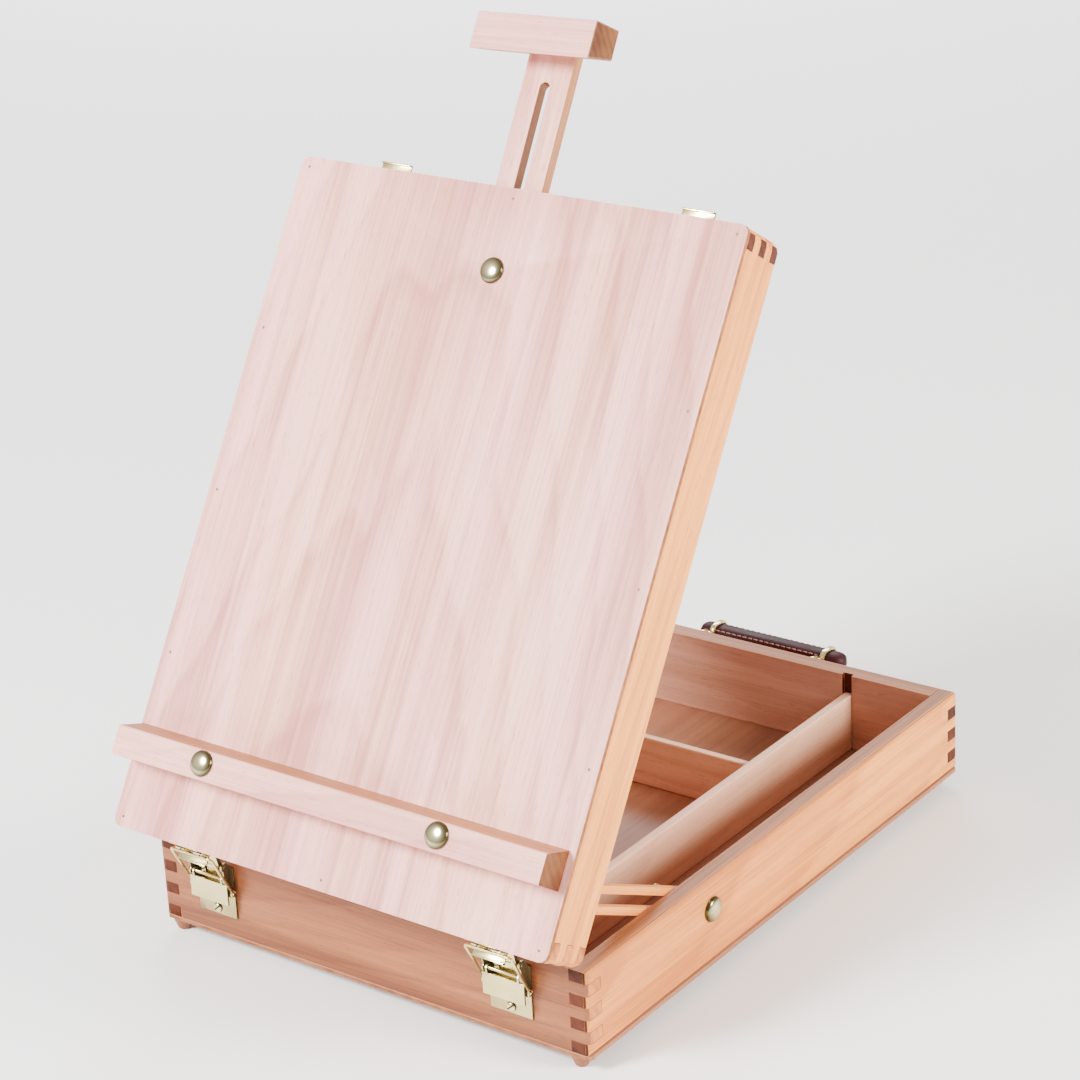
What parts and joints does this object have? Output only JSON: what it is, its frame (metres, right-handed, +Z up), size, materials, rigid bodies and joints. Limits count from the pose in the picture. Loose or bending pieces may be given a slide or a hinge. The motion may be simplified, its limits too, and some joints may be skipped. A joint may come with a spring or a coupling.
{
  "type": "artist easel box",
  "caption": "Wooden sketch box whose hinged lid opens into a slanted table easel with a sliding mast, canvas ledge, slotted stays and draw latches.",
  "frame": {"origin": "on the ground under the centre of the whole object as it stands open", "axes": "+Z up, +Y from the front wall to the back wall, +X to the right of someone painting at it"},
  "size_m": [0.3124, 0.4594, 0.5162],
  "materials": {
    "pale_wood": "pale sanded wood, unvarnished",
    "warm_wood": "warm satin varnished wood",
    "red_wood": "reddish satin varnished wood",
    "cream_wood": "pale satin wood",
    "brass": "bright yellow plated metal",
    "leather": "smooth dark leather"
  },
  "bodies": {
    "base": {"back_foot_left": "red_wood", "back_foot_right": "red_wood", "back_plate_left": "brass", "back_plate_right": "brass", "base_back_wall": "warm_wood", "base_bottom": "red_wood", "base_front_wall": "red_wood", "base_left_wall": "warm_wood", "base_right_wall": "warm_wood", "cross_divider": "cream_wood", "front_foot_left": "red_wood", "front_foot_right": "red_wood", "front_plate_left": "brass", "front_plate_right": "brass", "handle_bracket_left": "brass", "handle_bracket_right": "brass", "long_divider": "cream_wood", "stay_bolt_left": "brass", "stay_bolt_right": "brass"},
    "lid": {"back_strike_left": "brass", "back_strike_right": "brass", "canvas_ledge": "pale_wood", "front_strike_left": "brass", "front_strike_right": "brass", "ledge_bolt_left": "brass", "ledge_bolt_right": "brass", "lid_front_wall": "warm_wood", "lid_left_wall": "warm_wood", "lid_panel": "pale_wood", "lid_right_wall": "warm_wood", "lid_top_wall": "warm_wood", "mast_bolt": "brass", "mast_washer": "brass", "stay_screw_left": "brass", "stay_screw_right": "brass"},
    "mast_body": {"mast": "pale_wood", "mast_block": "pale_wood"},
    "mast_wing_nut_body": {"mast_wing_nut": "brass"},
    "handle": {"handle_grip": "leather", "handle_link_left": "brass", "handle_link_right": "brass"},
    "stay_washer_left_body": {"stay_washer_left": "brass"},
    "stay_arm_left_body": {"stay_arm_left": "warm_wood"},
    "stay_wing_nut_left_body": {"stay_wing_nut_left": "brass"},
    "ledge_wing_nut_left_body": {"ledge_wing_nut_left": "brass"},
    "front_loop_left_body": {"front_loop_left": "brass"},
    "front_lever_left_body": {"front_lever_left": "brass"},
    "back_lever_left_body": {"back_lever_left": "brass"},
    "back_loop_left_body": {"back_loop_left": "brass"},
    "stay_washer_right_body": {"stay_washer_right": "brass"},
    "stay_arm_right_body": {"stay_arm_right": "warm_wood"},
    "stay_wing_nut_right_body": {"stay_wing_nut_right": "brass"},
    "ledge_wing_nut_right_body": {"ledge_wing_nut_right": "brass"},
    "front_loop_right_body": {"front_loop_right": "brass"},
    "front_lever_right_body": {"front_lever_right": "brass"},
    "back_lever_right_body": {"back_lever_right": "brass"},
    "back_loop_right_body": {"back_loop_right": "brass"}
  },
  "joints": [
    {"name": "lid_fold", "type": "hinge", "parent": "base", "child": "lid", "pos_m": [0, -0.20156, 0.0599], "axis": [1, 0, 0], "range_deg": [-58.2, 0]},
    {"name": "stay_swing_left", "type": "hinge", "parent": "base", "child": "stay_washer_left_body", "pos_m": [-0.1315, -0.07426, 0.044], "axis": [1, 0, 0], "range_deg": [-0.5, 4.2]},
    {"name": "stay_slide_left", "type": "slide", "parent": "stay_washer_left_body", "child": "stay_arm_left_body", "axis": [0, -0.896, 0.4441], "range_m": [-0.042, 0.0005]},
    {"name": "front_loop_turn_left", "type": "hinge", "parent": "base", "child": "front_loop_left_body", "pos_m": [-0.109, -0.19856, 0.042], "axis": [1, 0, 0], "range_deg": [-26, 0.3]},
    {"name": "front_lever_turn_left", "type": "hinge", "parent": "base", "child": "front_lever_left_body", "pos_m": [-0.109, -0.20086, 0.0514], "axis": [-1, 0, 0], "range_deg": [0, 100]},
    {"name": "back_lever_turn_left", "type": "hinge", "parent": "base", "child": "back_lever_left_body", "pos_m": [-0.104, 0.21174, 0.0514], "axis": [1, 0, 0], "range_deg": [0, 100]},
    {"name": "back_loop_turn_left", "type": "hinge", "parent": "back_lever_left_body", "child": "back_loop_left_body", "pos_m": [-0.104, 0.20944, 0.042], "axis": [-1, 0, 0], "range_deg": [-166, 0]},
    {"name": "stay_wing_nut_spin_left", "type": "hinge", "parent": "base", "child": "stay_wing_nut_left_body", "pos_m": [-0.1315, -0.07426, 0.044], "axis": [1, 0, 0], "continuous": true},
    {"name": "ledge_wing_nut_spin_left", "type": "hinge", "parent": "lid", "child": "ledge_wing_nut_left_body", "pos_m": [-0.0852, -0.20227, 0.12423], "axis": [0, -0.8499, 0.527], "continuous": true},
    {"name": "stay_swing_right", "type": "hinge", "parent": "base", "child": "stay_washer_right_body", "pos_m": [0.1315, -0.07426, 0.044], "axis": [1, 0, 0], "range_deg": [-0.5, 4.2]},
    {"name": "stay_slide_right", "type": "slide", "parent": "stay_washer_right_body", "child": "stay_arm_right_body", "axis": [0, -0.896, 0.4441], "range_m": [-0.042, 0.0005]},
    {"name": "front_loop_turn_right", "type": "hinge", "parent": "base", "child": "front_loop_right_body", "pos_m": [0.102, -0.19856, 0.042], "axis": [1, 0, 0], "range_deg": [-26, 0.3]},
    {"name": "front_lever_turn_right", "type": "hinge", "parent": "base", "child": "front_lever_right_body", "pos_m": [0.102, -0.20086, 0.0514], "axis": [-1, 0, 0], "range_deg": [0, 100]},
    {"name": "back_lever_turn_right", "type": "hinge", "parent": "base", "child": "back_lever_right_body", "pos_m": [0.104, 0.21174, 0.0514], "axis": [1, 0, 0], "range_deg": [0, 100]},
    {"name": "back_loop_turn_right", "type": "hinge", "parent": "back_lever_right_body", "child": "back_loop_right_body", "pos_m": [0.104, 0.20944, 0.042], "axis": [-1, 0, 0], "range_deg": [-166, 0]},
    {"name": "stay_wing_nut_spin_right", "type": "hinge", "parent": "base", "child": "stay_wing_nut_right_body", "pos_m": [0.1315, -0.07426, 0.044], "axis": [1, 0, 0], "continuous": true},
    {"name": "ledge_wing_nut_spin_right", "type": "hinge", "parent": "lid", "child": "ledge_wing_nut_right_body", "pos_m": [0.0798, -0.20227, 0.12423], "axis": [0, -0.8499, 0.527], "continuous": true},
    {"name": "mast_slide", "type": "slide", "parent": "lid", "child": "mast_body", "axis": [-0.0279, 0.5268, 0.8496], "range_m": [-0.07, 0.1]},
    {"name": "mast_wing_nut_spin", "type": "hinge", "parent": "lid", "child": "mast_wing_nut_body", "pos_m": [-0.0005, -0.03347, 0.3775], "axis": [0, -0.8499, 0.527], "continuous": true},
    {"name": "handle_swing", "type": "hinge", "parent": "base", "child": "handle", "pos_m": [0.0073, 0.21054, 0.0519], "axis": [1, 0, 0], "range_deg": [-70, 15]}
  ],
  "couplings": [
    {"joint": "stay_swing_left", "follows": "lid_fold", "ratio": -0.0616},
    {"joint": "stay_slide_left", "follows": "lid_fold", "m_per_rad": 0.03936},
    {"joint": "front_loop_turn_left", "follows": "lid_fold", "ratio": 0.4416},
    {"joint": "stay_swing_right", "follows": "lid_fold", "ratio": -0.0616},
    {"joint": "stay_slide_right", "follows": "lid_fold", "m_per_rad": 0.03936},
    {"joint": "front_loop_turn_right", "follows": "lid_fold", "ratio": 0.4416}
  ]
}
